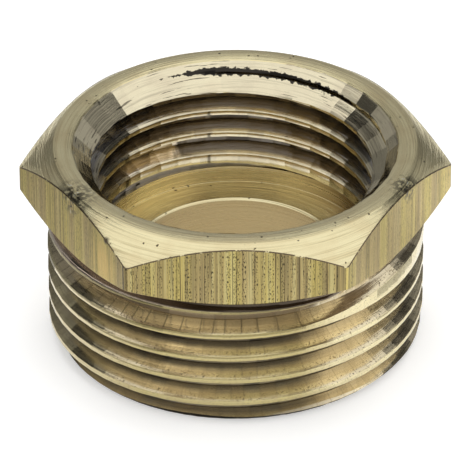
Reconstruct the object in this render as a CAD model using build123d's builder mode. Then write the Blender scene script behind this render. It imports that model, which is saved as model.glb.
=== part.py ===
from build123d import *
from build123d.topology import SkipClean
import math
import os

# Hex reducing bushing turned from one length of hexagon brass bar.
# Millimetres, +Z up, standing on its threaded end, two hexagon corners on the X axis.
# Outside: a G 3/4 parallel pipe thread.  Inside, from the top: a G 1/2 parallel pipe thread.
# Both threads have 14 turns to the inch, are right-handed and have the 55 degree form.

# Thread form shared by both threads
pitch = 25.4 / 14
half_angle = 27.5

# Outer thread
outer_r = 26.25 / 2
outer_root_r = 12.0
outer_root_flat = 0.32
outer_groove_z = 1.37
end_chamfer = 0.8

# Hexagon head
across_flats = 26.0
shank_len = 9.5
head_len = 5.0
top_face_r = 12.6
top_chamfer_deg = 36.0
under_face_r = 12.4
under_chamfer_deg = 30.0

# Inner thread, its lead-in and the smooth end of the tapping drill's hole
inner_r = 19.1 / 2
inner_root_r = 10.6
inner_root_flat = 0.40
inner_groove_z = 0.71
lead_in_r = 22.6 / 2
socket_depth = 9.1
smooth_len = 1.25
thread_end_turn = 0.25

# Through bore
bore_r = 14.5 / 2
bore_edge = 0.2

# How far cutters run past what they cut: the thread cutters' tips, and the turning cuts
nib = 0.2
past = 2.0

# Everything below follows from the sizes above
flank = math.tan(math.radians(half_angle))
top_slope = math.tan(math.radians(top_chamfer_deg))
under_slope = math.tan(math.radians(under_chamfer_deg))
total_len = shank_len + head_len
bar_len = total_len + 2 * past
socket_z = total_len - socket_depth
lead_in_depth = lead_in_r - inner_r
corner_r = across_flats / math.sqrt(3)
bar_r = corner_r + past
shank_clear_r = outer_r + past


# A solid of revolution from its half section, a list of (radius, height) points.
def turned(points, degrees=360):
    with BuildPart() as body:
        with BuildSketch(Plane.XZ):
            with BuildLine():
                Polyline(*points, close=True)
            make_face()
        revolve(axis=Axis.Z, revolution_arc=degrees)
    return body.part


# A right-hand helical groove, named by its root.  Depth is signed: plus opens outward, minus inward.
def groove(root_r, root_flat, depth, start_z, start_deg, turns):
    mouth = root_flat / 2 + abs(depth) * flank
    with BuildPart() as cutter:
        with BuildLine() as path:
            Helix(pitch=pitch, height=turns * pitch, radius=root_r, center=(0, 0, start_z))
        across = Plane(origin=path.line @ 0, x_dir=(1, 0, 0), z_dir=path.line % 0)
        with BuildSketch(across):
            with BuildLine():
                Polyline(
                    (0, -root_flat / 2),
                    (0, root_flat / 2),
                    (depth, mouth),
                    (depth, -mouth),
                    close=True,
                )
            make_face()
        sweep(path=path.line, is_frenet=True)
    return cutter.part.rotate(Axis.Z, start_deg)


# First the threads, cut in a rough turned blank that is longer and wider than the finished part.
rod = turned([(0, -past), (outer_r, -past), (outer_r, bar_len), (0, bar_len)])
outer_groove = groove(
    outer_root_r,
    outer_root_flat,
    outer_r - outer_root_r + nib,
    outer_groove_z - 2 * pitch,
    0,
    8,
)
below_head = turned(
    [(0, -past), (shank_clear_r, -past), (shank_clear_r, shank_len), (0, shank_len)]
)
head_disc = turned([(0, shank_len), (bar_r, shank_len), (bar_r, bar_len), (0, bar_len)])
tapping_hole = turned(
    [
        (0, socket_z + smooth_len),
        (inner_r, socket_z + smooth_len),
        (inner_r, bar_len + past),
        (0, bar_len + past),
    ]
)
inner_groove = groove(
    inner_root_r,
    inner_root_flat,
    inner_r - inner_root_r - nib,
    inner_groove_z + (3 + thread_end_turn) * pitch,
    360 * thread_end_turn,
    5,
)
with BuildPart() as blank:
    add(rod)
    add(outer_groove, mode=Mode.SUBTRACT)
    add(below_head, mode=Mode.INTERSECT)
    add(head_disc)
    add(tapping_hole, mode=Mode.SUBTRACT)
    add(inner_groove, mode=Mode.SUBTRACT)

# The blank is parted into four quarter turns and joined again with the seams kept,
# so that each helical strip of crest left between grooves is a quarter turn at most.
quarter_wedge = turned(
    [
        (0, -2 * past),
        (2 * bar_r, -2 * past),
        (2 * bar_r, 2 * bar_len),
        (0, 2 * bar_len),
    ],
    90,
)
with SkipClean():
    quarters = [blank.part & quarter_wedge.rotate(Axis.Z, 90 * k) for k in range(4)]
    with BuildPart() as seamed:
        for quarter in quarters:
            add(quarter, clean=False)

# The finished outside below the top: hexagon with the cone under it, and a chamfered end to the shank.
shank_shape = turned(
    [
        (0, 0),
        (outer_r - end_chamfer, 0),
        (shank_clear_r, end_chamfer + past),
        (shank_clear_r, shank_len),
        (0, shank_len),
    ]
)
under_head = turned(
    [
        (0, shank_len),
        (under_face_r, shank_len),
        (bar_r, shank_len + (bar_r - under_face_r) * under_slope),
        (bar_r, bar_len),
        (0, bar_len),
    ]
)
with BuildPart() as outside:
    with BuildSketch(Plane.XY.offset(shank_len)):
        RegularPolygon(radius=across_flats / 2, side_count=6, major_radius=False)
    extrude(amount=bar_len - shank_len)
    add(under_head, mode=Mode.INTERSECT)
    add(shank_shape)

# Bored through: bore, edge break, shoulder and the smooth end of the tapping hole.
plain_bore = turned(
    [
        (0, -past),
        (bore_r, -past),
        (bore_r, socket_z - bore_edge),
        (bore_r + bore_edge, socket_z),
        (inner_r, socket_z),
        (inner_r, socket_z + smooth_len),
        (0, socket_z + smooth_len),
    ]
)

# Turned off the top in one pass: lead-in cone, flat top ring and the cone on the hexagon's corners.
top_turning = turned(
    [
        (0, total_len - lead_in_depth),
        (inner_r, total_len - lead_in_depth),
        (lead_in_r, total_len),
        (top_face_r, total_len),
        (bar_r, total_len - (bar_r - top_face_r) * top_slope),
        (bar_r, bar_len + past),
        (0, bar_len + past),
    ]
)

with SkipClean():
    with BuildPart() as hex_bushing:
        add(seamed.part, clean=False)
        add(outside.part, mode=Mode.INTERSECT, clean=False)
        add(plain_bore, mode=Mode.SUBTRACT, clean=False)
        add(top_turning, mode=Mode.SUBTRACT, clean=False)

hex_bushing.part.label = "hex_bushing"

os.makedirs("parts", exist_ok=True)
export_step(hex_bushing.part, "parts/hex_bushing.step")
print("hex_bushing", hex_bushing.part.bounding_box())
print("volume", round(hex_bushing.part.volume, 1), "solids", len(hex_bushing.part.solids()))
print("faces", len(hex_bushing.part.faces()), "valid", hex_bushing.part.is_valid)
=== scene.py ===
# %% [markdown]
# # A brass hex bushing, dressed for the camera
#
# The object is a reducing bushing: one short piece of hexagon brass bar, turned, threaded outside and
# tapped inside. The frame holds it at its real size. This script makes its surface again as one fine mesh,
# with the thread ends, the tool marks and the worn edges that the plain solid leaves out, gives each
# kind of surface its own brass, and sets up the table, the light and the camera.

# %% Load the frame
import math
import bpy
import numpy as np
from mathutils import Matrix, Vector


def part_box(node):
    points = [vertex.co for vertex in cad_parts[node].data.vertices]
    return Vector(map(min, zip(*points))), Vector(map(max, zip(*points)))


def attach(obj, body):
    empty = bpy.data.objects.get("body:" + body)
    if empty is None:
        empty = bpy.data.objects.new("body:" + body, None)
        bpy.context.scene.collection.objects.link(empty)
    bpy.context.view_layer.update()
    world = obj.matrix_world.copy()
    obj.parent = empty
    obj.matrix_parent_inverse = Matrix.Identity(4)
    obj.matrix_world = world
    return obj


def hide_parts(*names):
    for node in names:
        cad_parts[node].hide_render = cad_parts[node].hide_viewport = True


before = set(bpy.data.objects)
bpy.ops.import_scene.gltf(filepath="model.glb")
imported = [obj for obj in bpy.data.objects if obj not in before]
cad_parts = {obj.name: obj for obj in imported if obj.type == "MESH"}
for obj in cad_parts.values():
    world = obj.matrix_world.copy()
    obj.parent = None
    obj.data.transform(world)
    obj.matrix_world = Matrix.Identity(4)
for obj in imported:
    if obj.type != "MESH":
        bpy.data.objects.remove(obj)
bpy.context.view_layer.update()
low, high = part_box("hex_bushing")
MM = 0.001
print("bushing in the frame, mm:", [round(c / MM, 2) for c in (*low, *high)])

# %% [markdown]
# ## Sizes
#
# All lengths below are millimetres, as a turner would write them, and become metres only when the mesh is
# made. The overall ones are read from the frame; the rest are the sizes of the two pipe threads (14 turns
# to the inch, flanks 27.5 degrees to the plane of the turn) and of the cuts on the bar.

# %% Sizes of the bushing
height = high.z / MM
corner_r = high.x / MM
flat_r = corner_r * math.cos(math.radians(30))
crest_r = high.y / MM
pitch = 25.4 / 14
flank = math.tan(math.radians(27.5))

outer_root_r = 12.0
outer_root_flat = 0.32
outer_groove_z = 1.37
end_chamfer = 0.8
neck_r = 12.4
neck_top = 9.5
top_face_r = 12.6
top_slope = math.tan(math.radians(36))
under_slope = math.tan(math.radians(30))

inner_r = 9.55
inner_root_r = 10.6
inner_root_flat = 0.40
inner_groove_z = 0.71
lead_in_r = 11.3
shoulder_z = 5.4
band_top = 6.65
bore_r = 7.25
worn = 0.06
print("across flats", round(2 * flat_r, 2), "thread", round(2 * crest_r, 2), "height", round(height, 2))

# %% [markdown]
# ## One column for each step round the axis
#
# The whole surface is a grid: columns go round the axis, rows go once round the half section, from the
# bore's lower edge out across the end face, up the outside, over the top and down the inside. Columns are
# 0.75 degrees apart, which puts one on each corner of the hexagon, and four more stand close to each corner
# so that its small radius is really round.

# %% Columns
column_step = 0.75
corner_round = 0.4
corner_centre = (flat_r - corner_round) / math.cos(math.radians(30))
corner_half = math.degrees(
    math.atan2(corner_round / 2, corner_centre + corner_round * math.cos(math.radians(30)))
)
near_corner = np.array([-1, -0.5, 0.5, 1]) * corner_half
turn = np.concatenate([
    np.arange(0, 360 + column_step / 2, column_step),
    (np.arange(7)[:, None] * 60 + near_corner).ravel(),
])
turn = np.unique(np.round(turn[(turn >= 0) & (turn <= 360)], 4))
print("columns", len(turn))


def smooth(x):
    """Goes from 0 to 1 as x does, with no slope at either end: 3x^2 - 2x^3 of x held between 0 and 1."""
    x = np.clip(x, 0, 1)
    return x * x * (3 - 2 * x)


def soft_max(a, b, width):
    """The larger of a and b, with the corner between them rounded over about width: the parabola
    (a - b + width)^2 / 4 width joins the two where they are closer than width."""
    near = np.clip(width - np.abs(a - b), 0, None)
    return np.maximum(a, b) + near * near / (4 * width)


def soft_min(a, b, width):
    """The smaller of a and b, rounded in the same way."""
    return -soft_max(-a, -b, width)


# %% [markdown]
# ## The outside thread
#
# A thread is one groove wound upwards, so everything about it depends on how far round the groove has
# gone: its unrolled angle, 360 degrees for each full turn. The radius at a height is then the crest,
# lowered wherever a turn of the groove passes: a flank down, the root, a flank up. A lathe thread doesn't
# just stop at the head. Its last groove gets shallow and its lower edge climbs, which leaves one broad
# stretch of crest, and above that comes a plain neck. The crest that is left beside the neck thins out.

# %% Radius of the outside thread
outer_half = outer_root_flat / 2 + (crest_r - outer_root_r) * flank
run_out = 3 * 360 + 283
run_out_len = 55
run_out_lift = 0.85
root_out_len = 46
opens_from = run_out + 21
opens_rise = 0.01
last_turn = 4 * 360
last_edge_z = outer_groove_z + 4 * pitch - outer_half + run_out_lift
last_edge_rise = 0.62 / 270
last_wider = 0.22
wider_from = 3 * 360 + 110
wider_len = 70
last_lean = 0.22
lean_len = 40
crest_end = 296
crest_end_len = 16
crest_end_z = 9.0
root_rounding = 0.16
edge_rounding = 0.05
outer_turns = np.arange(-2, 5)
print("outside: crest", round(crest_r, 3), "root", outer_root_r, "groove", round(2 * outer_half, 2), "wide")


def outer_edges(unrolled):
    """Lower edge, upper edge and root radius of the groove at an unrolled angle in degrees. The middle
    climbs one pitch a turn and the edges stand half a groove's width either side of it. Past run_out the
    lower edge lifts and the root comes out to the neck; past last_turn the lower edge climbs slowly. The
    upper edge is last_wider higher from wider_from on, and rises away past opens_from."""
    middle = outer_groove_z + pitch * unrolled / 360
    lift = run_out_lift * smooth((unrolled - run_out) / run_out_len)
    below = middle - outer_half + lift
    gone = np.clip(unrolled - last_turn, 0, None)
    below = np.where(unrolled > last_turn, last_edge_z + last_edge_rise * gone, below)
    above = middle + outer_half + opens_rise * np.clip(unrolled - opens_from, 0, None)
    above = above + last_wider * smooth((unrolled - wider_from) / wider_len)
    root = outer_root_r + (neck_r - outer_root_r) * smooth((unrolled - run_out) / root_out_len)
    return below, above, root


def outer_radius(angle, z):
    """Radius of the threaded shank at an angle in degrees and a height. Each turn k of the groove gives
    max(root, crest - (z - lower edge) / flank, crest - (upper edge - z) / flank); the thread is the
    smallest of these and of the crest, and the chamfer cone and the neck cap it at its two ends. The crest
    above the last turn leans inwards, which grows from nothing at angle 0 so that the two ends meet."""
    radius = np.full(np.broadcast(angle, z).shape, crest_r)
    for k in outer_turns:
        below, above, root = outer_edges(angle + 360 * k)
        walls = np.maximum(crest_r - (z - below) / flank, crest_r - (above - z) / flank)
        radius = soft_min(radius, soft_max(walls, root, root_rounding), edge_rounding)
    faded = smooth((angle - crest_end) / crest_end_len) * smooth((z - crest_end_z) / 0.1)
    radius = np.minimum(radius, crest_r - (crest_r - neck_r - 0.05) * faded)
    last_crest = outer_edges(angle + 360 * 3)[1]
    leaning = last_lean * np.clip(z - last_crest, 0, None) * (angle < run_out % 360)
    radius = radius - leaning * smooth(angle / lean_len)
    return soft_min(radius, crest_r - end_chamfer + z, 0.04)


# %% [markdown]
# ## The inside thread
#
# The tapped thread is the same idea turned inside out: the crest is the smallest radius, and the groove
# goes outwards. The lead-in cone at the mouth cuts the first turns away. The tap's own taper leaves the
# first turn at the bottom shallow, so it grows out of the plain band that the tapping drill left.

# %% Radius of the inside thread
inner_start = 3 * 360 + 10
inner_grow = 270
inner_opened = 7 * 360 + 45
inner_closed = 7 * 360 + 125
inner_torn_len = 30
inner_last_deeper = 0.06
inner_root_rounding = 0.12
inner_turns = np.arange(2, 9)
print("inside: crest", inner_r, "root", inner_root_r, "first groove from turn", round(inner_start / 360, 2))


def inner_groove(unrolled):
    """Height of the middle of the tapped groove, one pitch a turn, and its depth, which grows from nothing
    at the bottom. Where the lead-in cone cuts the last turn open, the groove is torn deeper."""
    grown = np.clip((unrolled - inner_start) / inner_grow, 0, 1)
    torn = smooth((unrolled - inner_opened) / inner_torn_len)
    torn = torn * smooth((inner_closed - unrolled) / inner_torn_len)
    depth = (inner_root_r - inner_r) * grown + inner_last_deeper * torn
    return inner_groove_z + pitch * unrolled / 360, depth


def inner_radius(angle, z):
    """Radius of the tapped wall. Each turn gives min(root, crest + (half width - |z - middle|) / flank),
    where the root is the crest plus the depth, and the depth grows from nothing; the wall is the largest
    of these, of the crest and of the lead-in cone. Below band_top only the plain band is left."""
    radius = np.full(np.broadcast(angle, z).shape, inner_r)
    for k in inner_turns:
        unrolled = angle + 360 * k
        middle, depth = inner_groove(unrolled)
        half = inner_root_flat / 2 + depth * flank
        wall = inner_r + (half - np.abs(z - middle)) / flank
        groove = soft_min(wall, inner_r + depth, inner_root_rounding)
        radius = np.where(depth > 0, soft_max(radius, groove, edge_rounding), radius)
    radius = np.where(z < band_top, inner_r, radius)
    return soft_max(radius, lead_in_r - height + z, 0.03)


# %% [markdown]
# ## Rows that follow the grooves
#
# A thread edge drawn across an even grid comes out as a staircase. Here each column instead gets rows just
# where its own groove turns: at the edges, half way down each flank, at both sides of the root. They are
# sorted by height, and what lies beyond the threaded stretch is held at its end, where the spare rows fall
# together and are merged away later.

# %% Rows for the two threads
def groove_rows(below, above, deep):
    """Heights across one groove from its lower and upper edge: deep is how far a flank reaches in z.
    Six go down from the lower edge, one is in the middle and six come up to the upper edge."""
    steps = [-0.05, 0.0, 0.045, 0.5 * deep, deep - 0.07, deep + 0.03]
    rising = [below + step for step in steps]
    falling = [above - step for step in reversed(steps)]
    return [*rising, (below + above) / 2, *falling]


def sorted_rows(rows, bottom, top):
    """All rows of a stretch as one array (rows, columns), held between bottom and top and sorted."""
    wide = [np.broadcast_to(row, turn.shape) for row in rows]
    return np.sort(np.clip(np.array(wide), bottom, top), axis=0)


outer_rows = [np.full(turn.shape, z) for z in (0.0, 0.2, 0.4, 0.6, end_chamfer, neck_top)]
for k in outer_turns:
    below, above, root = outer_edges(turn + 360 * k)
    outer_rows += groove_rows(below, above, (crest_r - root) * flank)
outer_z = sorted_rows(outer_rows, 0.0, neck_top)

inner_rows = [np.full(turn.shape, z) for z in (band_top, height - lead_in_r + inner_r, height)]
for k in inner_turns:
    unrolled = turn + 360 * k
    middle, depth = inner_groove(unrolled)
    half = inner_root_flat / 2 + depth * flank
    inner_rows += groove_rows(middle - half, middle + half, depth * flank)
inner_z = sorted_rows(inner_rows, band_top, height)[::-1]
print("rows outside", len(outer_z), "inside", len(inner_z))

# %% [markdown]
# ## Chatter
#
# The threads of this bushing don't mirror the room smoothly: the light on them breaks into blocks, because
# the chaser chattered and left narrow flats. They are far too shallow to see as a shape. Each flat is a
# chord between two edges on the true circle, of its own width.

# %% Chatter flats
random = np.random.default_rng(7)


def flat_edges(narrow, wide):
    """Angles of the edges between the flats round one thread, each flat from narrow to wide columns."""
    ends = np.cumsum(random.integers(narrow, wide, 120)) * column_step
    return np.concatenate([[0], ends[ends < 360 - narrow * column_step], [360]])


outer_flats = flat_edges(5, 10)
inner_flats = flat_edges(8, 17)
print("chatter flats outside", len(outer_flats) - 1, "inside", len(inner_flats) - 1)


def chatter(angle, edges):
    """The radius on a flat over that of its circle: cos(half its width) / cos(angle from its middle)."""
    flat = np.clip(np.searchsorted(edges, angle, side="right") - 1, 0, len(edges) - 2)
    middle = (edges[flat] + edges[flat + 1]) / 2
    half = (edges[flat + 1] - edges[flat]) / 2
    return np.cos(np.radians(half)) / np.cos(np.radians(angle - middle))


# %% [markdown]
# ## The hexagon
#
# The bar's six flats are drawn, not cut, and two cones turned on its ends make the curved edges that every
# hexagon fitting has. Seen from above, the radius of a flat at an angle is the distance across it over
# the cosine of the angle from its middle; near a corner an arc of small radius takes over. The height of
# each curved edge then follows from its cone.

# %% Outline of the hexagon
def hexagon_radius(angle):
    """flat_r / cos(angle from the middle of the flat), and near a corner the far side of a circle of
    radius corner_round whose middle lies on the corner's line."""
    from_corner = (angle + 30) % 60 - 30
    from_middle = angle % 60 - 30
    flat = flat_r / np.cos(np.radians(from_middle))
    off = np.radians(from_corner)
    inside = np.clip(corner_round**2 - (corner_centre * np.sin(off)) ** 2, 0, None)
    arc = corner_centre * np.cos(off) + np.sqrt(inside)
    return np.where(np.abs(from_corner) < corner_half + 1e-6, arc, flat)


hex_r = hexagon_radius(turn)
under_z = neck_top + (hex_r - neck_r) * under_slope
over_z = height - (hex_r - top_face_r) * top_slope
print("curved edges from", round(under_z.min(), 2), "to", round(over_z.max(), 2))

# %% [markdown]
# ## The half section, all round
#
# Now the rows of the plain cuts are put between those of the threads. Each row is a radius and a height
# for every column. Edges are never quite sharp on a real part, so each one is two rows, a few hundredths
# of a millimetre apart, and that narrow band is what catches the light. A number says which cut a row
# begins, since each kind of cut gets its own finish.

# %% Assemble the grid
FACED, DRAWN, THREAD, TAPPED, BORED, EDGE = range(6)
section = []


def row(radius, z, cut):
    """Adds one row: a radius and a height, each a number or one for every column."""
    section.append((np.broadcast_to(radius, turn.shape), np.broadcast_to(z, turn.shape), cut))


end_face_middle = 9.8
top_face_middle = 12.0
shoulder_middle = 8.5
shoulder_corner = 0.012
bore_edge = 0.14
bore_middle_z = 2.6
row(bore_r + worn, 0, FACED)
row(end_face_middle, 0, FACED)
flats = chatter(turn, outer_flats)
for z in outer_z:
    row(outer_radius(turn, z) * flats, z, THREAD)
joint_r = section[-1][0]
row(joint_r, neck_top + np.clip(joint_r - neck_r, 0, None) * under_slope, FACED)
for share in (0.35, 0.7):
    r = joint_r + (hex_r - joint_r) * share
    row(r, neck_top + (r - neck_r) * under_slope, FACED)
row(hex_r - worn, under_z - worn * under_slope, FACED)
row(hex_r, under_z + worn * 0.6, DRAWN)
for share in (0.25, 0.5, 0.75):
    row(hex_r, under_z + (over_z - under_z) * share, DRAWN)
row(hex_r, over_z - worn * 0.6, EDGE)
row(hex_r - worn, over_z + worn * top_slope, FACED)
for share in (0.3, 0.6):
    r = hex_r + (top_face_r - hex_r) * share
    row(r, height - (r - top_face_r) * top_slope, FACED)
row(top_face_r + worn, height - worn * top_slope, FACED)
row(top_face_r - worn, height, FACED)
row(top_face_middle, height, FACED)
row(lead_in_r + worn, height, FACED)
flats = chatter(turn, inner_flats)
for z in inner_z:
    sunk = np.where(z > height - 1e-9, worn, 0)
    row(inner_radius(turn, z - sunk) * flats, z - sunk, TAPPED)
row(inner_r, band_top, BORED)
row(inner_r, shoulder_z + shoulder_corner, FACED)
row(inner_r - shoulder_corner, shoulder_z, FACED)
row(shoulder_middle, shoulder_z, FACED)
row(bore_r + bore_edge, shoulder_z, FACED)
row(bore_r, shoulder_z - bore_edge, BORED)
row(bore_r, bore_middle_z, BORED)
row(bore_r, worn, BORED)
radius = np.array([r for r, z, cut in section])
level = np.array([z for r, z, cut in section])
cuts = np.array([cut for r, z, cut in section])
print("grid", radius.shape)

# %% [markdown]
# ## From the grid to a mesh
#
# Points that fall together are merged, which closes the seam where the last column meets the first and
# removes the spare rows, and triangles that lose a corner by it are dropped. What is left has to be one
# closed skin, so every edge must belong to just two triangles. The cell counts those that don't and stops
# if there are any.

# %% Build the mesh
merge_step = 1e-4


def skin_arrays(radius, level):
    """Points, triangles, and the row that each triangle begins in. A point is (r cos a, r sin a, z); each
    grid cell gives two triangles, cut along one diagonal, and their order turns the normals outwards."""
    angle = np.radians(turn % 360)
    points = np.stack([radius * np.cos(angle), radius * np.sin(angle), level], -1).reshape(-1, 3)
    keys = np.round(points / merge_step).astype(np.int64)
    _, first, merged = np.unique(keys, axis=0, return_index=True, return_inverse=True)
    merged = merged.ravel()
    count, wide = radius.shape
    i, j = np.meshgrid(np.arange(count), np.arange(wide - 1), indexing="ij")
    up = (i + 1) % count
    a, b, c, d = i * wide + j, i * wide + j + 1, up * wide + j + 1, up * wide + j
    corners = np.stack([np.stack([a, b, c], -1), np.stack([a, c, d], -1)], 2).reshape(-1, 3)
    owner = np.repeat(i.ravel(), 2)
    faces = merged[corners]
    whole = (faces[:, 0] != faces[:, 1]) & (faces[:, 1] != faces[:, 2]) & (faces[:, 0] != faces[:, 2])
    return points[first], faces[whole], owner[whole]


points, faces, owner = skin_arrays(radius, level)
edge_list = np.sort(np.concatenate([faces[:, [0, 1]], faces[:, [1, 2]], faces[:, [2, 0]]]), axis=1)
_, uses = np.unique(edge_list, axis=0, return_counts=True)
open_edges = int((uses != 2).sum())
print("points", len(points), "triangles", len(faces), "edges not shared by two", open_edges)
assert open_edges == 0, "the skin isn't closed"
a, b, c = [points[faces[:, i]] for i in range(3)]
volume = np.einsum("ij,ij->i", a, np.cross(b, c)).sum() / 6
print("volume mm3", round(float(volume), 1))

# %% [markdown]
# ## The object
#
# The mesh is shaded smoothly, so that turned walls look round, but not over real edges. Those are sharp,
# and so are the upright lines between the chatter flats, which would otherwise blur into each other.

# %% Lines between the chatter flats
def flat_lines(mesh):
    """True for each edge that runs up a thread on the line between two flats: both its ends have the angle
    of such a line, and their radius and height lie within the outside or the inside thread."""
    place = np.empty(len(mesh.vertices) * 3)
    mesh.vertices.foreach_get("co", place)
    x, y, z = place.reshape(-1, 3).T / MM
    ends = np.empty(len(mesh.edges) * 2, np.int32)
    mesh.edges.foreach_get("vertices", ends)
    ends = ends.reshape(-1, 2)
    angle = np.degrees(np.arctan2(y, x)) % 360
    same_angle = 0.02
    away = np.hypot(x, y)
    outside = (away > outer_root_r - 0.1) & (z < neck_top - 0.01)
    inside = (away > inner_r - 0.1) & (away < lead_in_r) & (z > band_top) & (z < height - 0.1)
    on_line = np.zeros(len(x), bool)
    for edges, thread in ((outer_flats, outside), (inner_flats, inside)):
        on_line |= thread & (np.abs(angle[:, None] - edges).min(axis=1) < same_angle)
    upright = np.abs(angle[ends[:, 0]] - angle[ends[:, 1]]) < same_angle
    return on_line[ends].all(axis=1) & upright


# %% Make the mesh object
sharp_from = math.radians(28)
mesh = bpy.data.meshes.new("brass_bushing")
mesh.from_pydata(points * MM, [], faces)
mesh.polygons.foreach_set("material_index", cuts[owner].astype(np.int32))
mesh.polygons.foreach_set("use_smooth", np.ones(len(faces), bool))
mesh.validate()
mesh.set_sharp_from_angle(angle=sharp_from)
bends = np.zeros(len(mesh.edges), bool)
mesh.attributes["sharp_edge"].data.foreach_get("value", bends)
bends |= flat_lines(mesh)
mesh.attributes["sharp_edge"].data.foreach_set("value", bends)
print("sharp edges", int(bends.sum()), "of", len(bends))
bushing = bpy.data.objects.new("brass_bushing", mesh)
bpy.context.scene.collection.objects.link(bushing)
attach(bushing, "root")
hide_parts("hex_bushing")
print("triangles in the mesh", len(mesh.polygons))

# %% [markdown]
# ## A small kit for the materials
#
# Everything is one metal, and what changes from cut to cut is its skin: how coarse the tool marks are and
# which way they run, how much the brass has tarnished, where dirt sits, and where light and shade are
# painted on. All of it is worked out from the place on the bushing, in millimetres, so the marks stay put
# when the part is moved or lit another way.
# Most of it is made from four small things: a sum, a value that goes from one to another, a pattern, and a
# colour laid over another.

# %% Sums and colours
def node(tree, kind, inputs, **settings):
    """Adds a node. An input is either another node's socket, which is linked, or a plain value."""
    made = tree.nodes.new("ShaderNode" + kind)
    for name, value in settings.items():
        setattr(made, name, value)
    for name, value in inputs.items():
        if isinstance(value, bpy.types.NodeSocket):
            tree.links.new(value, made.inputs[name])
        else:
            made.inputs[name].default_value = value
    return made


def calc(tree, operation, *values, clamp=False):
    """The result of one sum on sockets or plain numbers, held between 0 and 1 if clamp is true."""
    inputs = dict(enumerate(values))
    return node(tree, "Math", inputs, operation=operation, use_clamp=clamp).outputs[0]


def times(tree, first, second):
    """The product of two values."""
    return calc(tree, "MULTIPLY", first, second)


def between(tree, value, low, high, from_low=0.0, from_high=1.0):
    """Goes from from_low to from_high as the value goes from low to high, and no further."""
    settings = {"Value": value, "From Min": low, "From Max": high, "To Min": from_low, "To Max": from_high}
    return node(tree, "MapRange", settings, clamp=True).outputs[0]


def fades(tree, share, left=0.0):
    """1 where the share is 0, falling to what is left where the share is 1."""
    return between(tree, share, 0.0, 1.0, 1.0, left)


def blend(tree, share, first, second, how="MIX"):
    """The first colour, with a share of the second blended in."""
    first, second = [(*c, 1) if isinstance(c, tuple) else c for c in (first, second)]
    inputs = {"Fac": share, "Color1": first, "Color2": second}
    return node(tree, "MixRGB", inputs, blend_type=how).outputs[0]


def layered(tree, colour, layers):
    """The colour with layers laid over it in turn, each a share and a colour of its own."""
    for share, layer in layers:
        colour = blend(tree, share, colour, layer)
    return colour


# %% Places
def axis(tree, place, name):
    """How far along one axis a place is."""
    return node(tree, "SeparateXYZ", {0: place}).outputs[name]


def from_axis(tree, place):
    """How far a place is from the axis of the bushing."""
    flat = node(tree, "VectorMath", {0: place, 1: (1, 1, 0)}, operation="MULTIPLY").outputs[0]
    return node(tree, "VectorMath", {0: flat}, operation="LENGTH").outputs["Value"]


def stretched(tree, place, scale, shift=0.0):
    """The place scaled, by one number or by one for each axis, so that a texture read there is long where
    the scale is small. The shift only picks another piece of the texture."""
    scale = scale if isinstance(scale, tuple) else (scale, scale, scale)
    inputs = {"Vector": place, "Scale": scale, "Location": (shift, shift, shift)}
    return node(tree, "Mapping", inputs).outputs[0]


def near(tree, place, middle, reach):
    """1 at a place in mm, falling to 0 at the reach from it."""
    away = node(tree, "VectorMath", {0: place, 1: middle}, operation="DISTANCE").outputs["Value"]
    return between(tree, away, reach, 0.3 * reach)


def unrolled_place(tree, place, height):
    """How far round a place is, from 0 at the left over 0.25 in front and 0.5 at the right to 1, and how
    high it stands above the helix that starts at the left."""
    angle = calc(tree, "ARCTAN2", axis(tree, place, "Y"), axis(tree, place, "X"))
    share = between(tree, angle, -math.pi, math.pi)
    return share, calc(tree, "MULTIPLY_ADD", share, -pitch, height)


# %% Patterns
def noise(tree, place, detail=3.0):
    """Soft noise, about 0.5 on average."""
    return node(tree, "TexNoise", {"Vector": place, "Scale": 1.0, "Detail": detail}).outputs[0]


def rings(tree, place, across, along, fine, shift=0.0):
    """Noise in rings round the axis: fine lines a millimetre across the cut, along lines along it."""
    round_it = stretched(tree, place, (along, along, 1), shift)
    x = axis(tree, round_it, "X")
    y = axis(tree, round_it, "Y")
    ring = node(tree, "CombineXYZ", {"X": x, "Y": y, "Z": times(tree, across, fine)}).outputs[0]
    return noise(tree, ring)


def spots(tree, place, share):
    """More than 0 in scattered spots and 0 outside them: a share of the cells has a spot."""
    cells = node(tree, "TexVoronoi", {"Vector": place, "Scale": 1.0}, feature="F1")
    size = node(tree, "SeparateColor", {0: cells.outputs["Color"]}).outputs[0]
    reach = between(tree, size, 1 - share, 1.0, 0.0, 0.45)
    return calc(tree, "SUBTRACT", reach, cells.outputs["Distance"], clamp=True)


block_shift = 7.3


def along_blocks(tree, share, climb, count, first):
    """How far along the row of chatter blocks on a thread a place is, a block being about 1 long and count
    of them a turn. Each turn has blocks of its own; first is the height of a crest at the left."""
    turns = calc(tree, "MULTIPLY_ADD", climb, 1 / pitch, -first / pitch)
    shift = times(tree, calc(tree, "FLOOR", turns), block_shift)
    return calc(tree, "MULTIPLY_ADD", share, float(count), shift)


def block_value(tree, along):
    """A random value for each block."""
    inputs = {"W": along, "Scale": 1.0}
    block = node(tree, "TexVoronoi", inputs, voronoi_dimensions="1D", feature="F1")
    return node(tree, "SeparateColor", {0: block.outputs["Color"]}).outputs[0]


def from_block_line(tree, along):
    """The distance from the line between two blocks."""
    inputs = {"W": along, "Scale": 1.0}
    line = node(tree, "TexVoronoi", inputs, voronoi_dimensions="1D", feature="DISTANCE_TO_EDGE")
    return line.outputs["Distance"]


# %% [markdown]
# ## What the brasses share
#
# Each begins as bare metal and ends with its colour, roughness and relief linked to the shader. The upper
# edge of the hexagon was knocked against something at both sides, which left dark mottled places with
# bright flecks, and there is one small nick. These places run across two cuts, so both brasses use them.

# %% Start and finish a brass
left_knock = (-11.3, -6.4, 14.1)
right_knock = (11.9, -5.4, 14.2)
edge_nick = (-8.85, -10.67, 13.58)
# Colours of the painted shade under the head: dark at the right, lighter at the left.
right_shade = (0.14, 0.11, 0.08)
left_shade = (0.50, 0.41, 0.32)
brasses = []


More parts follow.
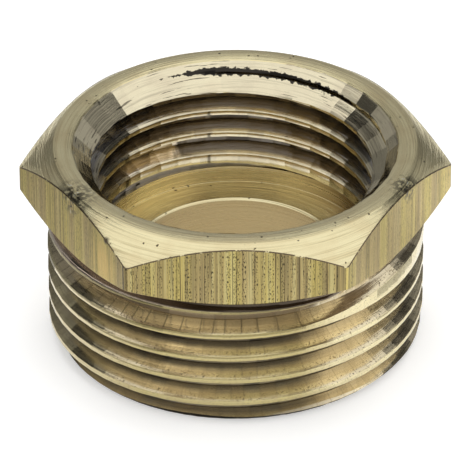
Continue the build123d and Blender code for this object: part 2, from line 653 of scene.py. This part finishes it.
def start_brass(name):
    """A new metal with its tree, its shader, and the place on the bushing in mm."""
    material = bpy.data.materials.new(name)
    material.use_nodes = True
    tree = material.node_tree
    shader = tree.nodes["Principled BSDF"]
    shader.inputs["Metallic"].default_value = 1
    where = node(tree, "TexCoord", {}).outputs["Object"]
    place = node(tree, "VectorMath", {0: where, "Scale": 1 / MM}, operation="SCALE").outputs[0]
    return material, tree, shader, place


def finish_brass(tree, shader, colour, rough, relief, depth):
    """Links the colour, the roughness and a relief, depth being how far it reaches in mm."""
    bump = node(tree, "Bump", {"Height": relief, "Strength": 1.0, "Distance": depth * MM}).outputs[0]
    for name, value in (("Base Color", colour), ("Roughness", rough), ("Normal", bump)):
        tree.links.new(value, shader.inputs[name])


def knocked_edge(tree, place, colour, reach):
    """The colour with the knocked places, which reach so many mm, and the nick."""
    knocks = noise(tree, stretched(tree, place, 2.4, 6.0))
    left = near(tree, place, left_knock, reach)
    right = near(tree, place, right_knock, 0.8 * reach)
    both = calc(tree, "ADD", left, right, clamp=True)
    return layered(tree, colour, [
        (times(tree, both, between(tree, knocks, 0.45, 0.54)), (0.11, 0.10, 0.07)),
        (times(tree, both, between(tree, knocks, 0.37, 0.33)), (0.95, 0.92, 0.75)),
        (near(tree, place, edge_nick, 0.34), (0.05, 0.04, 0.03)),
    ])


# %% [markdown]
# ## Faced brass
#
# The top face, the cones and the shoulder were cut with a pointed tool, fed across while the bar turned.
# That leaves rings finer than a tenth of a millimetre and a few coarser ones. Under the head the cone is
# painted dark, as painted shade, but less so at the left.

# %% Faced brass
def faced_brass():
    """Turned rings, small pits, a light brown bloom, and painted shade on the cone under the head."""
    material, tree, shader, place = start_brass("faced_brass")
    radius = from_axis(tree, place)
    height = axis(tree, place, "Z")
    fine = rings(tree, place, radius, 0.15, 11.0)
    coarse = rings(tree, place, radius, 0.06, 2.6, 7.0)
    bloom = noise(tree, stretched(tree, place, 0.35, 3.0))
    wander = blend(tree, 0.25, place, noise(tree, stretched(tree, place, 5.0)), "ADD")
    pits = spots(tree, stretched(tree, wander, 4.4), 0.045)
    colour = layered(tree, (0.87, 0.78, 0.48), [
        # Coarse rings, fine rings
        (between(tree, coarse, 0.4, 0.7, 0, 0.35), (0.64, 0.52, 0.28)),
        (between(tree, fine, 0.5, 0.75, 0, 0.6), (0.45, 0.36, 0.18)),
        # Bloom, pits
        (between(tree, bloom, 0.5, 0.75, 0, 0.3), (0.60, 0.44, 0.22)),
        (between(tree, pits, 0.0, 0.06), (0.14, 0.11, 0.06)),
    ])
    colour = knocked_edge(tree, place, colour, 2.2)
    # Painted shade on the cone under the head, lighter towards the left.
    under = between(tree, height, neck_top + 1.6, neck_top + 1.0)
    outside = between(tree, radius, 11.9, 12.0)
    to_left = between(tree, axis(tree, place, "X"), -3.0, -8.0)
    shade = blend(tree, to_left, (0.16, 0.12, 0.08), left_shade)
    colour = blend(tree, times(tree, under, outside), colour, shade)
    rough = between(tree, fine, 0.3, 0.7, 0.14, 0.28)
    finish_brass(tree, shader, colour, rough, blend(tree, 0.4, fine, coarse), 0.05)
    return material


brasses.append(faced_brass())
print("nodes in faced brass", len(brasses[-1].node_tree.nodes))

# %% [markdown]
# ## Drawn brass
#
# The hexagon's flats are the skin of the drawn bar. The die left streaks and a few thin score lines along
# it, and handling and storage left them olive, with rows of dark pits. On the flat in front all of this is
# strong; the others are cleaner. One place beside the left knock is rubbed to gold.

# %% Drawn brass
gold_patch = (-9.0, -10.4, 11.6)


def drawn_brass():
    """Upright streaks of olive, brown and grey, thin score lines, and dark pits in rows."""
    material, tree, shader, place = start_brass("drawn_brass")
    in_front = between(tree, axis(tree, place, "Y"), -12.0, -12.8, 0.45, 1.0)
    wide = noise(tree, stretched(tree, place, (0.9, 0.9, 0.02), 2.0))
    streak = noise(tree, stretched(tree, place, (3.6, 3.6, 0.05), 5.0))
    fine = noise(tree, stretched(tree, place, (13.0, 13.0, 0.2)))
    score = noise(tree, stretched(tree, place, (2.1, 2.1, 0.012), 12.0), 0.0)
    score = calc(tree, "COMPARE", score, 0.5, 0.022)
    dashes = noise(tree, stretched(tree, place, (14.0, 14.0, 5.0), 1.0), 2.0)
    rows = noise(tree, stretched(tree, place, (6.0, 6.0, 0.02), 9.0), 1.0)
    pitted = times(tree, between(tree, dashes, 0.54, 0.60), between(tree, rows, 0.46, 0.56))
    gold = times(tree, near(tree, place, gold_patch, 2.2), between(tree, streak, 0.62, 0.5))
    olive = blend(tree, between(tree, wide, 0.40, 0.60), (0.74, 0.60, 0.20), (0.62, 0.48, 0.21))
    colour = layered(tree, olive, [
        # Dark and bright streaks, fine lines
        (times(tree, in_front, between(tree, streak, 0.50, 0.62, 0, 0.5)), (0.25, 0.21, 0.12)),
        (times(tree, in_front, between(tree, streak, 0.46, 0.36, 0, 0.4)), (0.95, 0.86, 0.42)),
        (times(tree, in_front, between(tree, fine, 0.48, 0.66, 0, 0.6)), (0.20, 0.155, 0.08)),
        # Score lines, pits, the place rubbed to gold
        (times(tree, in_front, times(tree, score, 0.8)), (0.09, 0.07, 0.04)),
        (times(tree, in_front, pitted), (0.055, 0.045, 0.03)),
        (gold, (0.90, 0.66, 0.24)),
    ])
    colour = knocked_edge(tree, place, colour, 1.4)
    rough = between(tree, fine, 0.3, 0.7, 0.24, 0.38)
    finish_brass(tree, shader, colour, rough, blend(tree, 0.5, fine, streak), 0.015)
    return material


brasses.append(drawn_brass())
print("nodes in drawn brass", len(brasses[-1].node_tree.nodes))

# %% [markdown]
# ## Thread brass
#
# Inside a thread the light is reflected from flank to flank and the root lies in shade, and here both are
# painted: from the crest inwards the brass goes from bright yellow through brown to nearly black, painted
# shade together with some dirt. It isn't the same all round. From the right of the front on, the flank is
# painted lighter, as painted light, with less painted shade, and at the left of the front it is painted
# lighter too. The newest groove, under the head, is browner than the older ones, with less dark painted
# into it.

# %% Where on the outside thread
def thread_parts(tree, radius, height, share, climb):
    """Shares from 0 to 1 that say how far a place belongs to each part of the outside thread, by name."""
    newest_edge = outer_groove_z + 3.5 * pitch + outer_half + last_wider
    # Painted light: 1 from the right of the front on
    painted_light_past_front = between(tree, share, 0.30, 0.335)
    no_painted_light = fades(tree, painted_light_past_front)
    from_left = between(tree, share, 0.10, 0.14)
    from_front = between(tree, share, 0.25, 0.20)
    in_newest = between(tree, climb, newest_edge - pitch, newest_edge - pitch + 0.1)
    newest = times(tree, in_newest, no_painted_light)
    above_newest = between(tree, climb, newest_edge + 0.14, newest_edge + 0.22)
    return {
        "painted_light_past_front": painted_light_past_front,
        "newest": newest,
        "older": fades(tree, newest, 0.2),
        "wall": between(tree, radius, crest_r - 0.1, crest_r - 0.2),
        "crest": between(tree, radius, crest_r - 0.08, crest_r - 0.03),
        "root": between(tree, radius, outer_root_r + 0.10, outer_root_r + 0.04),
        # Painted light at the left of the front
        "left middle": times(tree, from_left, from_front),
        "lower turns": times(tree, between(tree, height, 6.5, 3.0, 0.0, 0.3), no_painted_light),
        # Painted shade on the chamfer at the low end
        "low end": times(tree, between(tree, height, 0.78, 0.70, 0.0, 0.65), no_painted_light),
        "behind": times(tree, above_newest, between(tree, share, 0.31, 0.27)),
        "neck": between(tree, height, neck_top - 0.3, neck_top - 0.15),
        "left": between(tree, share, 0.21, 0.13),
    }


def thread_pits(tree, place, radius):
    """Grains of dirt high on the flanks, fewer on the crest."""
    grain = noise(tree, stretched(tree, place, (7.0, 7.0, 10.0)))
    high = between(tree, radius, crest_r - 0.6, crest_r - 0.35)
    high = times(tree, high, between(tree, radius, crest_r, crest_r - 0.1, 0.45, 1.0))
    return times(tree, between(tree, grain, 0.59, 0.64, 0, 0.8), high)


# %% Thread brass
def thread_brass():
    """Bright at the crest, pitted yellow on the flank, and painted shade that turns it brown further in and
    dark at the root.
    """
    material, tree, shader, place = start_brass("thread_brass")
    radius = from_axis(tree, place)
    height = axis(tree, place, "Z")
    share, climb = unrolled_place(tree, place, height)
    along = along_blocks(tree, share, climb, 70, outer_groove_z)
    block = block_value(tree, along)
    part = thread_parts(tree, radius, height, share, climb)
    fine = rings(tree, place, radius, 0.2, 10.0)
    ragged = between(tree, noise(tree, stretched(tree, place, 1.3)), 0.3, 0.7, -0.05, 0.05)
    inwards = calc(tree, "ADD", radius, ragged)
    # Dirt and painted shade deeper in the older grooves, less where light is painted at the right
    dirt_and_shade = times(tree, between(tree, inwards, outer_root_r + 0.60, outer_root_r + 0.25), part["older"])
    dirt_and_shade = times(tree, dirt_and_shade, fades(tree, part["painted_light_past_front"], 0.25))
    upright = times(tree, part["wall"], between(tree, part["newest"], 0.0, 1.0, 0.2, 0.6))
    upright = times(tree, between(tree, from_block_line(tree, along), 0.06, 0.02), upright)
    # The crest: duller in front, painted lighter at the left and from the right of the front on, as painted
    # light
    crest = blend(tree, between(tree, share, 0.17, 0.10), (0.52, 0.44, 0.20), (0.72, 0.63, 0.39))
    crest = blend(tree, part["painted_light_past_front"], crest, (0.80, 0.71, 0.44))
    # Painted shade: the flank darkens from the crest inwards
    up_flank = between(tree, inwards, crest_r - 0.75, crest_r - 0.2)
    flank_colour = blend(tree, up_flank, (0.52, 0.45, 0.31), (0.74, 0.66, 0.40))
    colour = layered(tree, flank_colour, [
        # The flank: browner in the newest groove, painted lighter as painted light from the right of the
        # front on and at the left of the front, duller on the lower turns
        (times(tree, times(tree, part["newest"], part["wall"]), 0.7), (0.66, 0.56, 0.38)),
        (times(tree, part["painted_light_past_front"], 0.75), (0.88, 0.77, 0.55)),
        (times(tree, part["left middle"], 0.85), (0.90, 0.78, 0.54)),
        (part["lower turns"], (0.40, 0.35, 0.25)),
        # Dirt and painted shade deeper in, and the root painted nearly black as shade in the older grooves
        (dirt_and_shade, (0.25, 0.23, 0.19)),
        (part["root"], (0.26, 0.19, 0.11)),
        (times(tree, part["root"], part["older"]), (0.045, 0.04, 0.032)),
        # The crest, duller in front and painted lighter at both sides, and the chamfer at the low end,
        # painted dark as the shade under the part
        (part["crest"], crest),
        (times(tree, part["lower turns"], 0.4), (0.50, 0.44, 0.28)),
        (part["low end"], (0.22, 0.20, 0.17)),
        # Tool marks, pits, and a painted reflection of the chatter flats: a tone for each block and a dark
        # line between blocks
        (between(tree, fine, 0.5, 0.75, 0, 0.4), (0.30, 0.22, 0.10)),
        (thread_pits(tree, place, radius), (0.16, 0.12, 0.06)),
        (between(tree, block, 0.0, 1.0, 0.0, 0.32), (0.42, 0.34, 0.21)),
        (upright, (0.20, 0.16, 0.10)),
        # The shade behind the last crest and on the neck
        (part["behind"], blend(tree, part["left"], (0.17, 0.125, 0.085), left_shade)),
        (part["neck"], blend(tree, part["left"], right_shade, left_shade)),
    ])
    rough = between(tree, fine, 0.3, 0.7, 0.12, 0.24)
    finish_brass(tree, shader, colour, rough, fine, 0.010)
    return material


brasses.append(thread_brass())
print("nodes in thread brass", len(brasses[-1].node_tree.nodes))

# %% [markdown]
# ## Tapped brass
#
# The tap leaves the inside thread a little torn, and it is painted browner towards its roots as painted
# shade. Two places stand out. In one groove at the back left a pale stretch is painted on, a painted
# highlight. And where the lead-in cone cuts the last turn open, the groove is painted black with a ragged
# edge, as painted shade.

# %% Two places on the inside thread
lead_in_z = height - lead_in_r + inner_r
highlight_groove = inner_groove_z + 3.5 * pitch
torn_groove = inner_groove_z + 6.5 * pitch


def painted_highlight_stretch(tree, radius, share, climb):
    """1 on the stretch with the painted highlight, 0 elsewhere."""
    along = times(tree, between(tree, share, 0.812, 0.815), between(tree, share, 0.895, 0.890))
    above = between(tree, climb, highlight_groove - 0.8, highlight_groove - 0.75)
    below = between(tree, climb, highlight_groove + 0.8, highlight_groove + 0.75)
    inside = between(tree, radius, 9.65, 9.75)
    return times(tree, times(tree, along, inside), times(tree, above, below))


def torn_stretch(tree, place, height, share, climb):
    """1 in the groove painted black as shade, 0 elsewhere: its width is a noise, which narrows towards its
    two ends.
    """
    ragged = noise(tree, stretched(tree, place, 2.6, 8.0))
    away = calc(tree, "ABSOLUTE", calc(tree, "ADD", climb, -torn_groove))
    away = calc(tree, "MULTIPLY_ADD", ragged, -0.48, away)
    back_end = between(tree, share, 0.77, 0.84, 0, 0.3)
    right_end = between(tree, share, 0.64, 0.58, 0, 0.3)
    away = calc(tree, "ADD", away, calc(tree, "ADD", back_end, right_end))
    torn = times(tree, between(tree, away, 0.0, -0.04), between(tree, height, 13.2, 13.25))
    return times(tree, torn, between(tree, share, 0.56, 0.565))


# %% Tapped brass
def tapped_brass():
    """Bright crests and lead-in, grey-brown flanks and nearly black roots as painted shade, and the two
    places above.
    """
    material, tree, shader, place = start_brass("tapped_brass")
    radius = from_axis(tree, place)
    height = axis(tree, place, "Z")
    share, climb = unrolled_place(tree, place, height)
    block = block_value(tree, along_blocks(tree, share, climb, 46, inner_groove_z))
    fine = rings(tree, place, radius, 0.2, 10.0)
    cuts = rings(tree, place, radius, 0.45, 8.0, 4.0)
    smear = noise(tree, stretched(tree, place, (0.5, 0.5, 0.9)))
    below = between(tree, height, lead_in_z, lead_in_z - 0.1)
    sideways = between(tree, axis(tree, place, "Y"), 6.0, 2.0)
    # Painted shade on the flanks and roots below the lead-in, lighter at the sides than at the back
    deep = blend(tree, sideways, (0.39, 0.36, 0.32), (0.52, 0.50, 0.48))
    # Painted reflection of the chatter flats: a tone for each block, weaker on the lead-in cone
    blocks = times(tree, between(tree, block, 0.0, 1.0, 0.0, 0.4), between(tree, below, 0.0, 1.0, 0.3, 1.0))
    # A painted highlight on one stretch of groove at the back left, a little dimmer on some blocks
    painted_highlight = painted_highlight_stretch(tree, radius, share, climb)
    painted_highlight = times(tree, painted_highlight, between(tree, block, 0.0, 1.0, 1.0, 0.85))
    colour = layered(tree, (0.86, 0.78, 0.55), [
        # Uneven colour, then painted shade on the flanks, lighter at the sides, and on the roots
        (between(tree, smear, 0.4, 0.7, 0, 0.5), (0.72, 0.62, 0.44)),
        (times(tree, below, between(tree, radius, 9.70, 9.95)), deep),
        (times(tree, below, between(tree, radius, 10.50, 10.56)), (0.07, 0.06, 0.05)),
        # Chatter blocks, a painted reflection of the chatter flats, then broken cuts and fine rings
        (blocks, (0.40, 0.36, 0.30)),
        (between(tree, cuts, 0.63, 0.66, 0, 0.8), (0.12, 0.10, 0.07)),
        (between(tree, fine, 0.5, 0.75, 0, 0.45), (0.36, 0.31, 0.23)),
        # The two places: the painted highlight and the groove painted black as shade
        (painted_highlight, (0.97, 0.89, 0.74)),
        (torn_stretch(tree, place, height, share, climb), (0.04, 0.036, 0.03)),
    ])
    rough = between(tree, fine, 0.3, 0.7, 0.10, 0.20)
    finish_brass(tree, shader, colour, rough, fine, 0.014)
    return material


brasses.append(tapped_brass())
print("nodes in tapped brass", len(brasses[-1].node_tree.nodes))

# %% [markdown]
# ## Bored brass
#
# The plain band above the shoulder is what the tapping drill left. It is golden, painted brightest at the
# left as painted light, and darker brown at the right. The bore below the shoulder is duller.

# %% Bored brass
def bored_brass():
    """Rings round the wall, golden above the shoulder and tan below it."""
    material, tree, shader, place = start_brass("bored_brass")
    height = axis(tree, place, "Z")
    fine = rings(tree, place, height, 0.12, 9.0)
    above = between(tree, height, shoulder_z - 0.05, shoulder_z + 0.05)
    x = axis(tree, place, "X")
    # Painted light at the left of the band, and a darker brown at the right
    band = layered(tree, (0.76, 0.64, 0.40), [
        (between(tree, x, -3.0, -6.0), (0.97, 0.82, 0.48)),
        (between(tree, x, 4.5, 8.0, 0, 0.85), (0.27, 0.18, 0.10)),
    ])
    colour = blend(tree, above, (0.41, 0.315, 0.16), band)
    colour = blend(tree, between(tree, fine, 0.5, 0.75, 0, 0.4), colour, (0.40, 0.28, 0.12))
    rough = between(tree, fine, 0.3, 0.7, 0.2, 0.34)
    finish_brass(tree, shader, colour, rough, fine, 0.004)
    return material


brasses.append(bored_brass())
print("nodes in bored brass", len(brasses[-1].node_tree.nodes))

# %% [markdown]
# ## The edge
#
# Where the turned cone meets the drawn flats the tool threw up a fine burr. It has gone dark, with bright
# specks where it was knocked.

# %% Edge brass
def edge_brass():
    """Dark brown with a few bright specks."""
    material, tree, shader, place = start_brass("edge_brass")
    knocks = noise(tree, stretched(tree, place, 2.5, 4.0))
    colour = blend(tree, between(tree, knocks, 0.58, 0.64), (0.17, 0.13, 0.08), (0.84, 0.74, 0.43))
    rough = between(tree, knocks, 0.3, 0.7, 0.35, 0.2)
    finish_brass(tree, shader, colour, rough, knocks, 0.01)
    return material


brasses.append(edge_brass())
print("nodes in edge brass", len(brasses[-1].node_tree.nodes))

# %% [markdown]
# ## The six brasses on the mesh
#
# Each row of the grid carries the number of its cut. The brasses were made in that same order, so they go
# onto the mesh as they are.

# %% Put the brasses on
for material in brasses:
    mesh.materials.append(material)
print("materials", [material.name for material in mesh.materials])

# %% [markdown]
# ## The camera
#
# The camera looks down at the object from a little over 33 degrees, almost square to one flat, through a
# very long lens. These values were worked out from the curved edges, the corners and the threads in the
# picture, which is 470 pixels wide.

# %% Camera
picture_wide = 470
focal_pixels = 5942.6
camera_down = math.radians(33.045)
camera_turn = math.radians(-0.253)
camera_roll = math.radians(0.208)
camera_away = 414.36 * MM
aim_height = 7.035 * MM
aim_left = 0.0408 * MM

forward = Vector((-math.sin(camera_turn), math.cos(camera_turn), 0)) * math.cos(camera_down)
forward.z = -math.sin(camera_down)
level_right = Vector((math.cos(camera_turn), math.sin(camera_turn), 0))
level_up = level_right.cross(forward)
right = level_right * math.cos(camera_roll) - level_up * math.sin(camera_roll)
up = level_right * math.sin(camera_roll) + level_up * math.cos(camera_roll)
camera = bpy.data.objects.new("camera", bpy.data.cameras.new("camera"))
camera.data.sensor_width = 36
camera.data.lens = focal_pixels / picture_wide * camera.data.sensor_width
place = Vector((0, 0, aim_height)) - forward * camera_away - level_right * aim_left
camera.matrix_world = Matrix.Translation(place) @ Matrix((right, up, -forward)).transposed().to_4x4()
bpy.context.scene.collection.objects.link(camera)
bpy.context.scene.camera = camera
bpy.context.scene.view_settings.view_transform = "Standard"
print("camera at, mm", [round(c / MM, 1) for c in camera.location], "lens", round(camera.data.lens, 1))

# %% [markdown]
# ## The studio
#
# Metal shows what stands round it, so the room matters more than the lamp. Overhead it is white, which the
# cones at the top show. The walls are grey all round, which gives the top face its olive tone, and a white
# screen stands low at the right of the front. Just behind each side a stretch of the wall is nearly black,
# and further back there is a black round patch in the ceiling: these show as the black blocks at both sides
# of the threads.

# %% World
def around_the_room(tree, toward, stops):
    """A value for each direction round the room, from stops of (share of a turn from the left, value):
    0.25 is the front, 0.5 the right, 0.75 the back and 1 the left again."""
    around = node(tree, "TexGradient", {"Vector": toward}, gradient_type="RADIAL").outputs["Fac"]
    ramp = node(tree, "ValToRGB", {"Fac": around})
    for i, (share, value) in enumerate(stops):
        stop = ramp.color_ramp.elements[i] if i < 2 else ramp.color_ramp.elements.new(share)
        stop.position = share
        stop.color = (value, value, value, 1)
    return ramp.outputs["Color"]


side = 0.45
front = 0.36
screen = 0.95
gap = 0.05
right_back = 0.36
left_back = 0.30
shade = 0.15
back = 0.39
wall_tones = [
    (0.0, side), (0.13, side), (0.145, front), (0.35, front), (0.36, screen), (0.523, screen),
    (0.53, gap), (0.575, gap), (0.585, right_back), (0.64, right_back), (0.65, shade), (0.69, shade),
    (0.70, back), (0.80, back), (0.81, shade), (0.85, shade), (0.86, left_back), (0.915, left_back),
    (0.925, gap), (0.97, gap), (0.977, side),
]
ceiling_edges = [
    (0.0, 0.56), (0.13, 0.60), (0.17, 0.66), (0.33, 0.66), (0.36, 0.42), (0.52, 0.42),
    (0.55, 0.58), (0.60, 0.70), (0.71, 0.72), (0.79, 0.72), (0.90, 0.70), (0.96, 0.58),
]
dark_patches = ((0.542, 0.542, 0.643), (-0.529, 0.460, 0.713))
patch_tone = (0.025, 0.025, 0.025)

world = bpy.data.worlds.new("studio")
bpy.context.scene.world = world
world.use_nodes = True
tree = world.node_tree
toward = node(tree, "TexCoord", {}).outputs["Generated"]
wall = around_the_room(tree, toward, wall_tones)
edge = around_the_room(tree, toward, ceiling_edges)
over_edge = calc(tree, "SUBTRACT", axis(tree, toward, "Z"), edge)
room = blend(tree, between(tree, over_edge, -0.02, 0.02), wall, (1.0, 1.0, 1.0))
for middle in dark_patches:
    facing = node(tree, "VectorMath", {0: toward, 1: middle}, operation="DOT_PRODUCT").outputs["Value"]
    room = blend(tree, between(tree, facing, 0.981, 0.984), room, patch_tone)
tree.links.new(room, tree.nodes["Background"].inputs["Color"])
tree.nodes["Background"].inputs["Strength"].default_value = 1
print("wall tones", len(wall_tones), "ceiling edges", len(ceiling_edges), "dark patches", len(dark_patches))

# %% [markdown]
# ## The table and the lamp
#
# The table is white, and a broad soft lamp above it brings it up to the brightness at which white looks
# white. The table adds a little of its own light for the camera and for reflections, which lifts the
# shadow but keeps it.

# %% Table and lamp
floor_mesh = bpy.data.meshes.new("table")
half_wide = 1.0
sides = ((-1, -1), (1, -1), (1, 1), (-1, 1))
floor_mesh.from_pydata([(x * half_wide, y * half_wide, 0) for x, y in sides], [], [(0, 1, 2, 3)])
table = bpy.data.objects.new("table", floor_mesh)
bpy.context.scene.collection.objects.link(table)
white = bpy.data.materials.new("white_table")
white.use_nodes = True
tree = white.node_tree
paper = tree.nodes["Principled BSDF"]
paper.inputs["Base Color"].default_value = (0.78, 0.78, 0.78, 1)
paper.inputs["Roughness"].default_value = 0.9
table_glow = 0.42
ray = node(tree, "LightPath", {}).outputs
seen = calc(tree, "ADD", ray["Is Camera Ray"], ray["Is Glossy Ray"])
seen = calc(tree, "ADD", seen, ray["Is Transmission Ray"], clamp=True)
glow = node(tree, "Emission", {"Strength": times(tree, seen, table_glow)})
both = node(tree, "AddShader", {0: paper.outputs[0], 1: glow.outputs[0]})
tree.links.new(both.outputs[0], tree.nodes["Material Output"].inputs["Surface"])
floor_mesh.materials.append(white)

lamp = bpy.data.objects.new("soft_lamp", bpy.data.lights.new("soft_lamp", "AREA"))
lamp.data.shape = "DISK"
lamp.data.size = 0.5
lamp.data.energy = 1.5
lamp.location = (0, 0.1, 0.6)
lamp.rotation_euler = (math.atan2(-0.1, 0.6), 0, 0)
lamp.visible_glossy = False
bpy.context.scene.collection.objects.link(lamp)
print("lamp", lamp.data.energy, "W at", tuple(lamp.location))

# %% [markdown]
# ## Cards round the object
#
# Photographers lay grey and black card just out of the picture, so that polished metal doesn't show a white
# table everywhere. Here the cards near the object are grey, the outer ones at both sides are almost black,
# and a thin dark ring lies under the chamfer of the shank as a painted shadow, standing in for the shade
# under the part. Each is a sector of a ring on the table, which only reflections see.

# %% Cards
card_height = 0.05
card_steps = 24


def card(name, first, last, inner, outer, tone):
    """A sector of a ring of a plain tone, between two directions in degrees (0 is right, 90 the back) and
    two distances from the axis in mm. A point is (r cos a, r sin a, card_height)."""
    angle = np.radians(np.linspace(first, last, card_steps + 1))
    ring = np.stack([np.cos(angle), np.sin(angle)], -1)
    corners = np.concatenate([np.insert(ring * r, 2, card_height, axis=1) for r in (inner, outer)]) * MM
    i = np.arange(card_steps)
    shape = bpy.data.meshes.new(name)
    shape.from_pydata(corners, [], np.stack([i, i + 1, i + card_steps + 2, i + card_steps + 1], -1))
    card_material = bpy.data.materials.new(name)
    card_material.use_nodes = True
    paint = node(card_material.node_tree, "Emission", {"Color": (tone, tone, tone, 1)})
    exit_node = card_material.node_tree.nodes["Material Output"]
    card_material.node_tree.links.new(paint.outputs[0], exit_node.inputs["Surface"])
    shape.materials.append(card_material)
    made = bpy.data.objects.new(name, shape)
    bpy.context.scene.collection.objects.link(made)
    made.visible_camera = False
    made.visible_diffuse = False
    made.visible_shadow = False


card("front_card", -125, -57, 24, 90, 0.70)
card("left_middle_card", 166, 235, 20.8, 36, 0.53)
card("left_card", 166, 235, 36, 90, 0.15)
card("back_card", 36, 165, 16, 90, 0.38)
card("right_middle_card", -20, 12, 20.8, 36, 0.66)
card("right_card", -13, 35, 36, 90, 0.10)
# A painted shadow: the dark ring under the chamfer stands in for the contact shadow
card("painted_contact_shadow_card", 0, 360, 12.4, 13.4, 0.05)

# %% [markdown]
# ## The end
#
# The view layer is brought up to date. It has to stay inside the solid's box, because others measure the
# part by the solid.

# %% Finish
bpy.context.view_layer.update()
